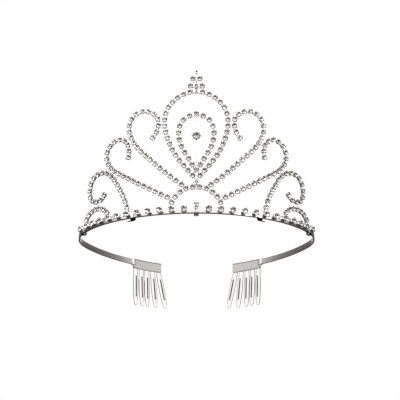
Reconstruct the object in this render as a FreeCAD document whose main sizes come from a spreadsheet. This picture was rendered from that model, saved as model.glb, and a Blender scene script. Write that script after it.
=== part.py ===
import FreeCAD
import Part
import Sketcher
import math
import os

# Bridal tiara: a C-shaped headband with a soldered front of claw-set crystals and two clear combs.
# Frame: +Z up, the front at -Y, the origin on the headband's lower edge plane, level with its
# widest place. The whole front stands upright on the headband's front arc, so every outline below
# is drawn unrolled: "along" is the distance round the front from its middle, "up" the height.

os.makedirs("parts", exist_ok=True)
doc = FreeCAD.newDocument("bridal_tiara")
Vector = FreeCAD.Vector
Placement = FreeCAD.Placement
Rotation = FreeCAD.Rotation

SIZES = [
    # headband
    ("half_width", 75.0, "outer half width at the widest place"),
    ("front_radius", 79.1, "outer radius of the front arc"),
    ("side_radius", 42.0, "outer radius of each side arc"),
    ("arm_radius", 114.0, "outer radius of each rear arm"),
    ("arm_start_angle", 20.0, "where the side arc becomes the arm, degrees behind the widest place"),
    ("arm_end_angle", 57.4, "where the arm ends, degrees round the arm's own centre"),
    ("band_height", 3.9, "height of the headband strip"),
    ("band_thickness", 1.0, "thickness of the headband strip"),
    ("cut_margin", 1.0, "how far a cutting shape runs past what it cuts"),
    # rail of the decorated front
    ("solder_gap", 0.05, "clearance left between soldered pieces"),
    ("rail_thickness", 0.8, "thickness of the base rail"),
    ("rail_lift", 0.1, "height of the rail's lower edge"),
    ("rail_height", 3.7, "height of the base rail"),
    ("rail_end", 86.4, "distance along at which the rail ends"),
    # claw setting and its crystal
    ("wire_diameter", 0.6, "backing wire"),
    ("wire_sag", 0.04, "furthest that a straight run of wire leaves its curve"),
    ("cup_height", 1.7, "height of a setting's cup"),
    ("cup_base_radius", 1.35, "radius of the cup's back"),
    ("cup_rim_radius", 1.75, "radius of the cup's rim"),
    ("cup_bore_radius", 1.5, "radius of the seat"),
    ("cup_well_radius", 0.85, "radius of the cup's inside at its floor"),
    ("cup_floor", 0.3, "thickness of the cup's back"),
    ("claw_width", 0.55, "width of a claw"),
    ("claw_reach", 1.92, "radius to the outside of a claw"),
    ("claw_rise", 2.2, "height of a claw's tip"),
    ("claw_root", 0.6, "height at which a claw leaves the cup"),
    ("claw_shoulder", 0.93, "height at which it reaches its full radius"),
    ("claw_setback", 0.03, "how far its inner face stands back from the seat"),
    ("claw_corner", 0.3, "slope cut from the outer corner of its tip"),
    ("claw_grip", 0.35, "distance from its tip to the edge of the table"),
    ("claw_hook", 0.43, "height of the underside of its tip above the girdle"),
    ("stone_play", 0.1, "play between a crystal and its metal"),
    ("stone_radius", 1.45, "radius of a crystal at its girdle"),
    ("stone_table", 0.85, "radius of its table"),
    ("stone_seat", 1.42, "height of the girdle above the cup's back"),
    ("stone_girdle", 0.1, "height of the girdle"),
    ("stone_crown", 0.55, "height of the crown"),
    ("stone_pavilion", 1.02, "depth below the girdle"),
    ("base_pitch", 7.05, "distance between the settings of the base row"),
    ("base_row_up", 2.3, "height of the base row"),
    ("tie_stone_up", 3.0, "height of the small stone on the centre tie"),
    ("base_scale", 1.15, "stones of the base row against the common size"),
    ("small_scale", 0.58, "small stones against the common size"),
    ("tie_stone_scale", 0.7, "the stone on the centre tie against the common size"),
    ("top_scale", 0.5, "width of the finial's top stone against the common size"),
    ("top_stretch", 2.1, "height of that stone against its width"),
    ("drop_scale", 1.42, "the drop stone against the common size"),
    ("drop_up", 47.3, "height of the drop stone"),
    ("thread_diameter", 0.24, "wire that the drop stone turns on"),
    ("sleeve_bore", 0.36, "bore of the sleeve behind the drop stone"),
    ("sleeve_diameter", 0.8, "outside of that sleeve"),
    ("sleeve_length", 4.4, "length of that sleeve"),
    ("sleeve_bite", 0.12, "depth that the drop's cup is let into the sleeve"),
    ("thread_low", 26.8, "lower end of the wire that the drop stone turns on"),
    ("thread_high", 60.8, "upper end of that wire"),
    # apex link
    ("link_top", 20.6, "top of the link's lozenge"),
    ("lozenge_middle", 19.2, "height of the lozenge's side corners"),
    ("lozenge_half", 1.1, "half width of the lozenge"),
    ("stem_low", 18.0, "height at which the stem joins the lozenge"),
    ("stem_half", 0.45, "half width of the stem"),
    ("bar_top", 17.7, "top of the link's bar"),
    ("bar_low", 16.9, "bottom of the link's bar"),
    ("bar_half", 1.2, "half length of the link's bar"),
    # straps, tie and clips
    ("strap_width", 2.2, "width of a strap"),
    ("strap_thickness", 0.45, "sheet that the straps are folded from"),
    ("strap_low", -1.5, "lowest point of a strap"),
    ("strap_high", 5.2, "highest point of a strap"),
    ("front_strap_along", 38.8, "where the front straps sit"),
    ("end_strap_along", 84.6, "where the end straps sit"),
    ("tail_length", 3.4, "spare end of a front strap, left behind the headband"),
    ("tail_height", 0.7, "height of that spare end"),
    ("clip_gap", 0.2, "distance from a clip to the comb behind it"),
    ("tie_wire", 0.9, "wire of the centre tie"),
    ("tie_turns", 3, "turns of the centre tie"),
    ("tie_low", -1.6, "lowest point of the tie"),
    ("tie_high", 6.6, "highest point of the tie"),
    # combs
    ("comb_length", 21.8, "length of a comb's bar along the headband"),
    ("comb_notch", 0.8, "length of the bar's front end that stays low, under the clip"),
    ("comb_wall", 0.9, "plastic each side of the headband"),
    ("comb_drop", 2.3, "depth of the bar below the headband"),
    ("comb_end_wall", 0.8, "plastic behind the end of the headband"),
    ("tooth_pitch", 4.85, "distance between teeth at their roots"),
    ("tooth_length", 26.0, "length of a tooth below the bar"),
    ("tooth_root", 3.3, "width of a tooth at its root"),
    ("tooth_middle", 4.5, "width of a tooth at its widest"),
    ("tooth_belly", 0.45, "how far down a tooth its widest place is, as a share of its length"),
    ("tooth_tip", 2.6, "width of a tooth at its tip"),
    ("tooth_thickness", 1.6, "thickness of a tooth"),
    ("tooth_lean", 2.0, "inward lean of the teeth, in degrees"),
]

sheet = doc.addObject("Spreadsheet::Sheet", "Sizes")
for row, (alias, value, meaning) in enumerate(SIZES, start=1):
    sheet.set(f"A{row}", alias)
    sheet.set(f"B{row}", str(value))
    sheet.set(f"C{row}", meaning)
    sheet.setAlias(f"B{row}", alias)
doc.recompute()
size = {alias: float(sheet.get(alias)) for alias, _, _ in SIZES}

FRONT_CENTRE_Y = (
    "sqrt((Sizes.front_radius - Sizes.side_radius)^2 - (Sizes.half_width - Sizes.side_radius)^2)"
)
nodes = []


def worth(expression):
    """The number that an expression on the sheet comes to."""
    return float(sheet.evalExpression(expression))


def keep(piece, label):
    """Gives a sub-part its name and puts it on the list that is written out."""
    piece.Label = label
    nodes.append(piece)
    return piece


# ---------------------------------------------------------------- the headband's plan, and the wall

side_centre = Vector(size["half_width"] - size["side_radius"], 0, 0)
front_centre = Vector(0, worth(FRONT_CENTRE_Y), 0)
front_half_angle = math.degrees(math.atan2(side_centre.x, front_centre.y))
arm_turn = math.radians(size["arm_start_angle"])
arm_centre = side_centre + Vector(math.cos(arm_turn), math.sin(arm_turn), 0) * (
    size["side_radius"] - size["arm_radius"]
)
DECOR_OUT = 2 * size["solder_gap"] + size["rail_thickness"]
WIRE_OUT = DECOR_OUT - size["solder_gap"] - size["wire_diameter"] / 2


def wall_normal(along):
    angle = along / size["front_radius"]
    return Vector(math.sin(angle), -math.cos(angle), 0)


def wall_tangent(along):
    angle = along / size["front_radius"]
    return Vector(math.cos(angle), math.sin(angle), 0)


def on_wall(along, up, out):
    """A place on the front: out is its distance in front of the headband's outer face."""
    place = front_centre + wall_normal(along) * (size["front_radius"] + out)
    return Vector(place.x, place.y, up)


def on_arm(angle, up, out):
    """A place on the right rear arm, at an angle in degrees round the arm's centre."""
    turn = math.radians(angle)
    place = arm_centre + Vector(math.cos(turn), math.sin(turn), 0) * (size["arm_radius"] + out)
    return Vector(place.x, place.y, up)


# ---------------------------------------------------------------- sketches

def origin_feature(body, role):
    return next(f for f in body.Origin.OriginFeatures if f.Role == role)


def new_sketch(body, name, plane):
    sketch = body.newObject("Sketcher::SketchObject", name)
    sketch.AttachmentSupport = [(origin_feature(body, plane), "")]
    sketch.MapMode = "FlatFace"
    return sketch


def bind(sketch, kind, where, expression):
    """Adds one dimension to a sketch and ties it to the sheet."""
    index = sketch.addConstraint(Sketcher.Constraint(kind, *where, worth(expression)))
    sketch.setExpression(f"Constraints[{index}]", expression)


def outline_sketch(body, name, plane, corners):
    """A closed outline of straight lines. Each corner is two expressions on the sheet."""
    sketch = new_sketch(body, name, plane)
    points = [Vector(worth(across), worth(up), 0) for across, up in corners]
    for point, following in zip(points, points[1:] + points[:1]):
        sketch.addGeometry(Part.LineSegment(point, following), False)
    for line in range(len(points)):
        following = (line + 1) % len(points)
        sketch.addConstraint(Sketcher.Constraint("Coincident", line, 2, following, 1))
    for line, (across, up) in enumerate(corners):
        for kind, expression, axis in (("DistanceX", across, -2), ("DistanceY", up, -1)):
            if abs(worth(expression)) < 1e-9:
                sketch.addConstraint(Sketcher.Constraint("PointOnObject", line, 1, axis))
            else:
                bind(sketch, kind, (-1, 1, line, 1), expression)
    return sketch


def arc_between(centre, radius, start, end):
    circle = Part.Circle(centre, Vector(0, 0, 1), radius)
    return Part.ArcOfCircle(circle, math.radians(start), math.radians(end))


# ---------------------------------------------------------------- headband and base rail

def make_headband():
    """A strip bent to a C: front arc, side arc and rear arm on the right, mirrored to the left."""
    body = doc.addObject("PartDesign::Body", "headband_body")
    sketch = new_sketch(body, "headband_plan", "XY_Plane")
    thickness = size["band_thickness"]
    stretches = [
        (front_centre, size["front_radius"], -90, front_half_angle - 90),
        (side_centre, size["side_radius"], front_half_angle - 90, size["arm_start_angle"]),
        (arm_centre, size["arm_radius"], size["arm_start_angle"], size["arm_end_angle"]),
    ]
    for inset in (0, thickness):
        for centre, radius, start, end in stretches:
            sketch.addGeometry(arc_between(centre, radius - inset, start, end), False)
    front, side, arm, inner_front, inner_side, inner_arm = range(6)
    middle = Part.LineSegment(
        Vector(0, front_centre.y - size["front_radius"], 0),
        Vector(0, front_centre.y - size["front_radius"] + thickness, 0),
    )
    cap = Part.LineSegment(
        on_arm(size["arm_end_angle"], 0, 0), on_arm(size["arm_end_angle"], 0, -thickness)
    )
    middle_line = sketch.addGeometry(middle, False)
    cap_line = sketch.addGeometry(cap, False)
    joint_lines = []
    for centre, turn in ((front_centre, front_half_angle - 90), (arm_centre, size["arm_start_angle"])):
        reach = size["front_radius"] if centre is front_centre else size["arm_radius"]
        direction = Vector(math.cos(math.radians(turn)), math.sin(math.radians(turn)), 0)
        line = Part.LineSegment(centre, centre + direction * reach)
        joint_lines.append(sketch.addGeometry(line, True))

    def add(kind, *where):
        sketch.addConstraint(Sketcher.Constraint(kind, *where))

    add("PointOnObject", front, 3, -2)
    add("PointOnObject", side, 3, -1)
    add("Tangent", front, 2, side, 1)
    add("Tangent", side, 2, arm, 1)
    add("PointOnObject", front, 1, -2)
    for inner, outer in ((inner_front, front), (inner_side, side), (inner_arm, arm)):
        add("Coincident", inner, 3, outer, 3)
    add("Coincident", inner_front, 2, inner_side, 1)
    add("Coincident", inner_side, 2, inner_arm, 1)
    for line, centre_arc, joint_arc, inner in (
        (joint_lines[0], front, front, inner_front),
        (joint_lines[1], arm, side, inner_side),
    ):
        add("Coincident", line, 1, centre_arc, 3)
        add("Coincident", line, 2, joint_arc, 2)
        add("PointOnObject", inner, 2, line)
    add("Coincident", middle_line, 1, front, 1)
    add("Coincident", middle_line, 2, inner_front, 1)
    add("Vertical", middle_line)
    add("Coincident", cap_line, 1, arm, 2)
    add("Coincident", cap_line, 2, inner_arm, 2)
    add("PointOnObject", arm, 3, cap_line)
    bind(sketch, "Radius", (front,), "Sizes.front_radius")
    bind(sketch, "Radius", (side,), "Sizes.side_radius")
    bind(sketch, "Radius", (arm,), "Sizes.arm_radius")
    bind(sketch, "Radius", (inner_front,), "Sizes.front_radius - Sizes.band_thickness")
    bind(sketch, "DistanceX", (-1, 1, side, 3), "Sizes.half_width - Sizes.side_radius")
    bind(sketch, "DistanceY", (-1, 1, side, 2), "Sizes.side_radius * sin(Sizes.arm_start_angle)")
    end_height = (
        "(Sizes.side_radius - Sizes.arm_radius) * sin(Sizes.arm_start_angle)"
        " + Sizes.arm_radius * sin(Sizes.arm_end_angle)"
    )
    bind(sketch, "DistanceY", (-1, 1, arm, 2), end_height)
    doc.recompute()
    pad = body.newObject("PartDesign::Pad", "headband_strip")
    pad.Profile = sketch
    pad.setExpression("Length", "Sizes.band_height")
    doc.recompute()
    mirrored = body.newObject("PartDesign::Mirrored", "headband_other_half")
    mirrored.Originals = [pad]
    mirrored.MirrorPlane = (origin_feature(body, "YZ_Plane"), [""])
    body.Tip = mirrored
    return keep(body, "headband")


def arc_strip(label, centre, outer, inner, low, height, start, sweep):
    """A strip bent to one arc: a slice of a ring. Radii, heights and angles are expressions."""
    solids = []
    for name, radius in (("outside", outer), ("inside", inner)):
        cylinder = doc.addObject("Part::Cylinder", f"{label}_{name}")
        cylinder.setExpression("Radius", radius)
        cylinder.setExpression("Height", height)
        cylinder.setExpression("Angle", sweep)
        cylinder.Placement = Placement(
            Vector(centre.x, centre.y, worth(low)), Rotation(Vector(0, 0, 1), worth(start))
        )
        cylinder.setExpression("Placement.Base.z", low)
        solids.append(cylinder)
    strip = doc.addObject("Part::Cut", f"{label}_strip")
    strip.Base, strip.Tool = solids
    return strip


def make_base_rail():
    """The strip that the whole front is soldered to. It follows the headband's front arc."""
    half_sweep = "(Sizes.rail_end / Sizes.front_radius) * 180 / pi"
    return keep(
        arc_strip(
            "rail",
            front_centre,
            "Sizes.front_radius + Sizes.solder_gap + Sizes.rail_thickness",
            "Sizes.front_radius + Sizes.solder_gap",
            "Sizes.rail_lift",
            "Sizes.rail_height",
            f"-90 - {half_sweep}",
            f"2 * {half_sweep}",
        ),
        "base_rail",
    )


# ---------------------------------------------------------------- masters: claw setting, crystal

def claw_setting(name, scale, claws):
    """A turned cup with a blind seat, and claws that close over the crystal's crown."""

    def scaled(*terms):
        return [f"({term}) * {scale}" for term in terms]

    body = doc.addObject("PartDesign::Body", name)
    cup_corners = [
        scaled("0", "0"),
        scaled("Sizes.cup_base_radius", "0"),
        scaled("Sizes.cup_rim_radius", "Sizes.cup_height"),
        scaled("Sizes.cup_bore_radius", "Sizes.cup_height"),
        scaled("Sizes.cup_bore_radius", "Sizes.stone_seat - Sizes.stone_play"),
        scaled("Sizes.cup_well_radius", "Sizes.cup_floor"),
        scaled("0", "Sizes.cup_floor"),
    ]
    cup_sketch = outline_sketch(body, f"{name}_cup_half", "XZ_Plane", cup_corners)
    doc.recompute()
    cup = body.newObject("PartDesign::Revolution", f"{name}_cup")
    cup.Profile = cup_sketch
    cup.ReferenceAxis = (cup_sketch, ["V_Axis"])
    cup.Angle = 360
    doc.recompute()
    inner_face = "Sizes.cup_bore_radius + Sizes.claw_setback"
    girdle_top = "Sizes.stone_seat + Sizes.stone_girdle"
    tip_inside = "Sizes.stone_table + Sizes.claw_grip"
    claw_corners = [
        scaled(inner_face, "Sizes.claw_root"),
        scaled("Sizes.claw_reach", "Sizes.claw_shoulder"),
        scaled("Sizes.claw_reach", "Sizes.claw_rise - Sizes.claw_corner"),
        scaled("Sizes.claw_reach - Sizes.claw_corner", "Sizes.claw_rise"),
        scaled(tip_inside, "Sizes.claw_rise"),
        scaled(tip_inside, f"{girdle_top} + Sizes.claw_hook"),
        scaled(inner_face, f"{girdle_top} + Sizes.stone_play"),
    ]
    claw_sketch = outline_sketch(body, f"{name}_claw_side", "XZ_Plane", claw_corners)
    doc.recompute()
    claw = body.newObject("PartDesign::Pad", f"{name}_claw")
    claw.Profile = claw_sketch
    claw.Midplane = True
    claw.setExpression("Length", f"Sizes.claw_width * {scale}")
    doc.recompute()
    ring = body.newObject("PartDesign::PolarPattern", f"{name}_claws")
    ring.Originals = [claw]
    ring.Axis = (cup_sketch, ["V_Axis"])
    ring.Angle = 360
    ring.Occurrences = claws
    body.Tip = ring
    doc.recompute()
    return body


FACETS = 8


def facet_ring(radius, up, stretch):
    eighth = math.tau / FACETS
    return [
        Vector(radius * math.cos(i * eighth), radius * math.sin(i * eighth) * stretch, up)
        for i in range(FACETS)
    ]


def crystal(name, scale, stretch=1.0):
    """A cut stone: flat table, eight crown facets, a narrow girdle, eight pavilion facets."""
    seat = size["stone_seat"]
    girdle_top = seat + size["stone_girdle"]
    levels = [
        facet_ring(size["stone_table"], girdle_top + size["stone_crown"], stretch),
        facet_ring(size["stone_radius"], girdle_top, stretch),
        facet_ring(size["stone_radius"], seat, stretch),
    ]
    point = Vector(0, 0, seat - size["stone_pavilion"])
    faces = [levels[0]]
    for i in range(FACETS):
        j = (i + 1) % FACETS
        for upper, lower in zip(levels, levels[1:]):
            faces.append([upper[i], upper[j], lower[j], lower[i]])
        faces.append([levels[-1][i], levels[-1][j], point])
    shell = Part.makeShell([Part.Face(Part.makePolygon(face + face[:1])) for face in faces])
    solid = Part.makeSolid(shell)
    solid.scale(scale)
    stone = doc.addObject("Part::Feature", name)
    stone.Shape = solid
    return stone


def stretched(name, master, stretch):
    """A copy of a setting pulled out to an oval across one axis."""
    pull = FreeCAD.Matrix()
    pull.scale(1, stretch, 1)
    oval = doc.addObject("Part::Feature", name)
    oval.Shape = master.Shape.transformGeometry(pull)
    return oval


# ---------------------------------------------------------------- rows of settings along an outline

def outline_curve(points):
    """A smooth curve through a few (along, up) points of the unrolled front."""
    curve = Part.BSplineCurve()
    curve.interpolate([Vector(along, up, 0) for along, up in points])
    return curve.toShape()


def stations(points, count):
    """Evenly spaced places on an outline, each with its direction there."""
    edge = outline_curve(points)
    found = []
    for place in edge.discretize(Number=count):
        parameter = edge.Curve.parameter(place)
        found.append((place.x, place.y, edge.Curve.tangent(parameter)[0]))
    return found


SEAT_TURN = 45


def seat_placement(along, up, out, direction):
    """Stands a setting on the front, its back at the distance out, one side along the row."""
    across = wall_tangent(along) * direction.x + Vector(0, 0, direction.y)
    outward = wall_normal(along)
    turned = Rotation(across, outward.cross(across), outward, "ZXY")
    return Placement(on_wall(along, up, out), turned * Rotation(Vector(0, 0, 1), SEAT_TURN))


def group(label, *kinds):
    """One node of separate solids: each kind is a master and the places of its copies."""
    copies = [
        master.Shape.transformed(place.toMatrix(), True)
        for master, placements in kinds
        for place in placements
    ]
    node = doc.addObject("Part::Feature", f"{label}_group")
    node.Shape = Part.makeCompound(copies)
    return keep(node, label)


def wire_object(label, nodes_on_path, diameter="Sizes.wire_diameter"):
    """Round wire swept along a path, as a helper object with no label of its own yet."""
    path = doc.addObject("Part::Polygon", f"{label}_path")
    path.Nodes = nodes_on_path
    ring = doc.addObject("Part::Circle", f"{label}_section")
    ring.setExpression("Radius", f"{diameter} / 2")
    start, following = nodes_on_path[:2]
    ring.Placement = Placement(start, Rotation(Vector(0, 0, 1), following - start))
    sweep = doc.addObject("Part::Sweep", f"{label}_sweep")
    sweep.Sections = [ring]
    sweep.Spine = (path, [])
    sweep.Solid = True
    sweep.Transition = "Right corner"
    return sweep


def mirror_object(label, source):
    other = doc.addObject("Part::Mirroring", f"{label}_mirrored")
    other.Source = source
    other.Normal = Vector(1, 0, 0)
    return keep(other, label)


def wire_places(points):
    """Places along an outline for short straight runs of wire, closer together on the tight bends."""
    places = outline_curve(points).discretize(Deflection=size["wire_sag"])
    return [(place.x, place.y) for place in places]


def make_row(label, points, count, lead=(), tail=()):
    """One row on the right: backing wire, settings and crystals. Lead and tail lengthen the wire."""
    route = [*lead, *wire_places(points), *tail]
    path = [on_wall(along, up, WIRE_OUT) for along, up in route]
    wire = keep(wire_object(label, path), f"{label}_wire")
    places = [
        seat_placement(along, up, DECOR_OUT, direction)
        for along, up, direction in stations(points, count)
    ]
    settings = group(f"{label}_settings", (cup_master, places))
    stones = group(f"{label}_crystals", (stone_master, places))
    return wire, settings, stones


def make_pair_of_rows(label, points, count, lead=(), tail=()):
    """A row on the right and its mirror image on the left."""
    right = make_row(f"{label}_right", points, count, lead, tail)
    doc.recompute()
    for piece, part_of_row in zip(right, ("wire", "settings", "crystals")):
        mirror_object(f"{label}_left_{part_of_row}", piece)


def make_closed_row(label, points, count, lead=(), tail=(), middle=()):
    """A row symmetric about the centre: one wire down both sides, settings mirrored in pairs."""
    half = [*lead, *wire_places(points), *tail]
    path = [on_wall(along, up, WIRE_OUT) for along, up in half]
    other_half = [on_wall(-along, up, WIRE_OUT) for along, up in reversed(half) if along > 0]
    keep(wire_object(label, path + other_half), f"{label}_wire")
    places = []
    for along, up, direction in stations(points, count):
        places.append(seat_placement(along, up, DECOR_OUT, direction))
        mirrored = Vector(direction.x, -direction.y, 0)
        places.append(seat_placement(-along, up, DECOR_OUT, mirrored))
    places += [seat_placement(0, up, DECOR_OUT, Vector(1, 0, 0)) for up in middle]
    group(f"{label}_settings", (cup_master, places))
    group(f"{label}_crystals", (stone_master, places))


# Outlines of the rows, right half, each from its soldered end. Values are (along, up).
OUTER_TEARDROP = [
    (2.1, 22.6), (6.9, 28.4), (12.1, 35.8), (16.6, 46.0), (18.6, 56.5), (16.6, 66.0),
    (11.1, 72.1), (3.6, 75.5),
]
INNER_TEARDROP = [
    (2.3, 29.2), (5.2, 34.4), (8.6, 41.0), (10.2, 48.2), (9.6, 54.0), (7.4, 57.9), (3.9, 60.1),
]
CENTRE_ARCH = [(13.9, 6.4), (11.9, 9.9), (8.8, 12.8), (5.5, 14.6), (1.95, 15.3)]
INNER_CROOK = [
    (8.4, 17.1), (17.2, 24.5), (27.2, 34.2), (34.7, 42.0), (39.8, 49.8), (41.5, 57.2),
    (39.2, 63.0), (33.2, 65.7), (26.9, 64.0), (22.8, 59.3), (22.7, 53.3), (25.8, 47.7),
]
OUTER_CROOK = [
    (16.6, 9.8), (26.2, 15.2), (36.0, 21.1), (46.5, 27.7), (53.8, 33.0), (58.0, 39.0),
    (58.3, 44.8), (54.3, 49.4), (48.5, 50.6), (43.7, 48.0), (41.4, 43.0), (41.6, 37.8),
]
SIDE_SWIRL = [
    (42.0, 6.7), (44.7, 14.0), (49.0, 21.5), (53.8, 28.0), (59.8, 31.8), (66.5, 32.5),
    (71.8, 30.6), (74.6, 25.8), (74.2, 20.6), (71.0, 16.5), (66.8, 15.0), (62.6, 15.4),
    (59.8, 17.8),
]
SIDE_LOOP = [(57.2, 6.3), (60.4, 8.8), (65.2, 10.2), (70.2, 10.2), (74.9, 8.6), (77.9, 6.3)]


def make_base_row():
    """Settings spaced out along the rail, with a smaller one in front of the centre tie."""
    straight = Vector(1, 0, 0)
    places = []
    last = int(size["rail_end"] // size["base_pitch"])
    for i in range(1, last + 1):
        out = DECOR_OUT if i < last else strap_front + size["solder_gap"]
        for side in (1, -1):
            places.append(seat_placement(side * i * size["base_pitch"], size["base_row_up"], out, straight))
    middle = [seat_placement(0, size["tie_stone_up"], tie_front + size["solder_gap"], straight)]
    group("base_settings", (base_cup_master, places), (tie_cup_master, middle))
    group("base_crystals", (base_stone_master, places), (tie_stone_master, middle))


# ---------------------------------------------------------------- finial, drop stone, apex link

# Ends of the post, then (along, up) of each pair of crystals, and heights of those up the middle.
FINIAL_POST = (75.9, 90.0)
FINIAL_PAIRS = ((3.4, 79.5), (2.05, 84.2))
FINIAL_COLUMN = (75.4, 77.75, 80.1)
FINIAL_TOP = 88.6


def make_finial():
    """A post with two short arms, a pair of crystals on each, small ones up the middle."""
    rods = [wire_object("finial_upright", [on_wall(0, up, WIRE_OUT) for up in FINIAL_POST])]
    for index, (along, up) in enumerate(FINIAL_PAIRS):
        ends = [on_wall(side * along, up, WIRE_OUT) for side in (-1, 1)]
        rods.append(wire_object(f"finial_arm_{index}", ends))
    doc.recompute()
    fused = doc.addObject("Part::MultiFuse", "finial_frame")
    fused.Shapes = rods
    keep(fused, "finial_post")
    straight = Vector(1, 0, 0)
    common = [
        seat_placement(side * along, up, DECOR_OUT, straight)
        for along, up in FINIAL_PAIRS
        for side in (-1, 1)
    ]
    small = [seat_placement(0, up, DECOR_OUT, straight) for up in FINIAL_COLUMN]
    square_on = Placement(Vector(), Rotation(Vector(0, 0, 1), -SEAT_TURN))
    top = [seat_placement(0, FINIAL_TOP, DECOR_OUT, straight) * square_on]
    group(
        "finial_settings", (cup_master, common), (small_cup_master, small), (top_cup_master, top)
    )
    group(
        "finial_crystals", (stone_master, common), (small_stone_master, small), (top_stone_master, top)
    )


def make_drop_stone():
    """The stone that hangs in the inner teardrop and turns on a fine upright wire."""
    thread_ends = [on_wall(0, size[end], WIRE_OUT) for end in ("thread_low", "thread_high")]
    keep(wire_object("drop_thread", thread_ends, "Sizes.thread_diameter"), "drop_thread")
    sleeve = doc.addObject("Part::Cylinder", "drop_sleeve_outside")
    sleeve.setExpression("Radius", "Sizes.sleeve_diameter / 2")
    bore = doc.addObject("Part::Cylinder", "drop_sleeve_bore")
    bore.setExpression("Radius", "Sizes.sleeve_bore / 2")
    low = Vector(0, 0, -size["sleeve_length"] / 2)
    for cylinder in (sleeve, bore):
        cylinder.setExpression("Height", "Sizes.sleeve_length")
        cylinder.Placement = Placement(on_wall(0, size["drop_up"], WIRE_OUT) + low, Rotation())
    cup_out = WIRE_OUT + size["sleeve_diameter"] / 2 - size["sleeve_bite"]
    place = seat_placement(0, size["drop_up"], cup_out, Vector(1, 0, 0))
    drop_cup = claw_setting("drop_cup", "Sizes.drop_scale", 8)
    drop_cup.Placement = place
    doc.recompute()
    joined = doc.addObject("Part::MultiFuse", "drop_setting_solid")
    joined.Shapes = [drop_cup, sleeve]
    setting = doc.addObject("Part::Cut", "drop_setting_bored")
    setting.Base = joined
    setting.Tool = bore
    keep(setting, "drop_setting")
    stone = crystal("drop_stone", size["drop_scale"])
    stone.Placement = place
    keep(stone, "drop_crystal")


def make_apex_link():
    """The small lozenge and bar that tie the foot of the teardrops to the arch."""
    body = doc.addObject("PartDesign::Body", "apex_link_body")
    half = [
        ("Sizes.lozenge_half", "Sizes.lozenge_middle"),
        ("Sizes.stem_half", "Sizes.stem_low"),
        ("Sizes.bar_half", "Sizes.bar_top"),
        ("Sizes.bar_half", "Sizes.bar_low"),
    ]
    other_half = [(f"-{across}", up) for across, up in reversed(half)]
    corners = [("0", "Sizes.link_top"), *half, *other_half]
    sketch = outline_sketch(body, "apex_link_face", "XZ_Plane", corners)
    doc.recompute()
    pad = body.newObject("PartDesign::Pad", "apex_link_plate")
    pad.Profile = sketch
    pad.setExpression("Length", "Sizes.rail_thickness")
    doc.recompute()
    body.Placement = Placement(on_wall(0, 0, size["solder_gap"]), Rotation())
    return keep(body, "apex_link")


# ---------------------------------------------------------------- straps, tie and clips

strap_front = DECOR_OUT + size["strap_thickness"]
tie_front = DECOR_OUT + size["tie_wire"]


def folded_loop(name, width, low, high, back, front, hole):
    """A flat loop round the strips: a box with a rectangular hole through its width.

    The box runs from back to front across the strips and from low to high. The hole is
    (back, front, low, high). All are expressions, measured from the headband's outer face.
    """
    boxes = []
    reach = {"outside": (back, front, low, high), "hole": hole}
    for part_name, (near, far, bottom, top) in reach.items():
        box = doc.addObject("Part::Box", f"{name}_{part_name}")
        wide = width if part_name == "outside" else f"{width} + Sizes.cut_margin"
        box.setExpression("Length", wide)
        box.setExpression("Width", f"({far}) - ({near})")
        box.setExpression("Height", f"({top}) - ({bottom})")
        box.setExpression("Placement.Base.x", f"-({wide}) / 2")
        box.setExpression("Placement.Base.y", f"-({far})")
        box.setExpression("Placement.Base.z", bottom)
        boxes.append(box)
    loop = doc.addObject("Part::Cut", f"{name}_loop")
    loop.Base, loop.Tool = boxes
    return loop


HEADBAND_BACK = "-Sizes.band_thickness - Sizes.solder_gap"
RAIL_FRONT = "Sizes.rail_thickness + 2 * Sizes.solder_gap"


def stand_on_wall(piece, along):
    turn = Rotation(Vector(0, 0, 1), math.degrees(along / size["front_radius"]))
    piece.Placement = Placement(on_wall(along, 0, 0), turn)


def make_strap(label, along, tail=False):
    """A tab folded round the headband and the rail. A tail is its spare end, behind the headband."""
    back = f"{HEADBAND_BACK} - Sizes.strap_thickness"
    for side, name in ((1, "right"), (-1, "left")):
        strap = folded_loop(
            f"{label}_{name}",
            "Sizes.strap_width",
            "Sizes.strap_low",
            "Sizes.strap_high",
            back,
            f"{RAIL_FRONT} + Sizes.strap_thickness",
            (HEADBAND_BACK, RAIL_FRONT, "-Sizes.solder_gap", "Sizes.band_height + Sizes.solder_gap"),
        )
        if tail:
            spare = doc.addObject("Part::Box", f"{label}_{name}_spare_end")
            spare.setExpression("Length", "Sizes.tail_length + Sizes.strap_width / 2")
            spare.setExpression("Width", "Sizes.strap_thickness")
            spare.setExpression("Height", "Sizes.tail_height")
            spare.setExpression("Placement.Base.x", "0" if side > 0 else "-Length")
            spare.setExpression("Placement.Base.y", f"-({HEADBAND_BACK})")
            spare.setExpression("Placement.Base.z", "Sizes.strap_low")
            loop = strap
            strap = doc.addObject("Part::Fuse", f"{label}_{name}_with_tail")
            strap.Base = loop
            strap.Tool = spare
        stand_on_wall(strap, side * along)
        keep(strap, f"{label}_{name}")


def make_centre_tie():
    """A few turns of wire bound side by side round the headband and the rail."""
    pitch = size["tie_wire"] + size["solder_gap"]
    turns = []
    for turn in range(int(size["tie_turns"])):
        loop = folded_loop(
            f"tie_turn_{turn}",
            "Sizes.tie_wire",
            "Sizes.tie_low",
            "Sizes.tie_high",
            f"{HEADBAND_BACK} - Sizes.tie_wire",
            f"{RAIL_FRONT} + Sizes.tie_wire",
            (HEADBAND_BACK, RAIL_FRONT, "-Sizes.solder_gap", "Sizes.band_height + Sizes.solder_gap"),
        )
        along = (turn - (size["tie_turns"] - 1) / 2) * pitch
        stand_on_wall(loop, along)
        turns.append(loop)
    bundle = doc.addObject("Part::Compound", "tie_bundle")
    bundle.Links = turns
    return keep(bundle, "centre_tie")


def arm_degrees(length):
    """The angle that a length takes up round the rear arm."""
    return math.degrees(length / size["arm_radius"])


comb_start = size["arm_end_angle"] - arm_degrees(size["comb_length"])
comb_end = size["arm_end_angle"] + arm_degrees(size["comb_end_wall"])
notch_end = comb_start + arm_degrees(size["comb_notch"])


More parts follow.
